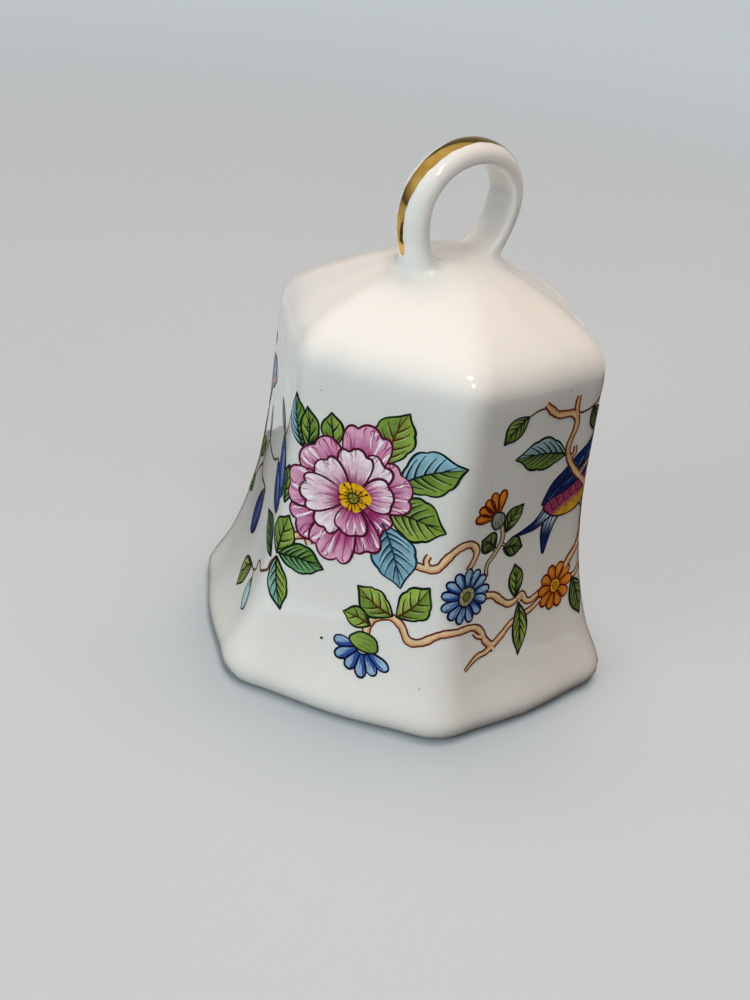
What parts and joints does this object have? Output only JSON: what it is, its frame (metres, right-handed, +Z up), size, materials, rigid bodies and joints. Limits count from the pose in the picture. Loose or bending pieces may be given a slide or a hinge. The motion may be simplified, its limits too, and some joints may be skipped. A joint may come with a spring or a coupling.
{
  "type": "bell",
  "caption": "Small six-sided porcelain table bell with a loop handle on its crown and a china clapper on a short chain inside.",
  "frame": {"origin": "centre of the rim's resting plane", "axes": "+Z up along the bell's axis to the loop handle; -Y out of one flat side and +Y out of the opposite one; corners at +X and -X"},
  "size_m": [0.0736, 0.068, 0.089],
  "materials": {
    "china": "glossy glaze over white bone china, painted with flowers, leaves and a small bird",
    "gilt_china": "glossy glaze with a burnished gilt stripe round the loop",
    "cement": "matt",
    "brass_wire": "drawn, slightly dulled"
  },
  "bodies": {
    "bell": {"bell_shell": "china", "loop_handle": "gilt_china", "crown_cement": "cement", "hanger_staple": "brass_wire"},
    "link_1": {"chain_link_1": "brass_wire"},
    "link_2": {"chain_link_2": "brass_wire"},
    "link_3": {"chain_link_3": "brass_wire"},
    "clapper": {"clapper_pin": "brass_wire", "clapper_bead": "china"}
  },
  "joints": [
    {"name": "link_1_swing", "type": "hinge", "parent": "bell", "child": "link_1", "pos_m": [0, 0, 0.0621], "axis": [1, 0, 0], "range_deg": [-12, 12]},
    {"name": "link_2_swing", "type": "hinge", "parent": "link_1", "child": "link_2", "pos_m": [0, 0, 0.05615], "axis": [0, 1, 0], "range_deg": [-8, 8]},
    {"name": "link_3_swing", "type": "hinge", "parent": "link_2", "child": "link_3", "pos_m": [0, 0, 0.05015], "axis": [1, 0, 0], "range_deg": [-14, 14]},
    {"name": "clapper_swing", "type": "hinge", "parent": "link_3", "child": "clapper", "pos_m": [0, 0, 0.04415], "axis": [0, 1, 0], "range_deg": [-10, 10]}
  ]
}
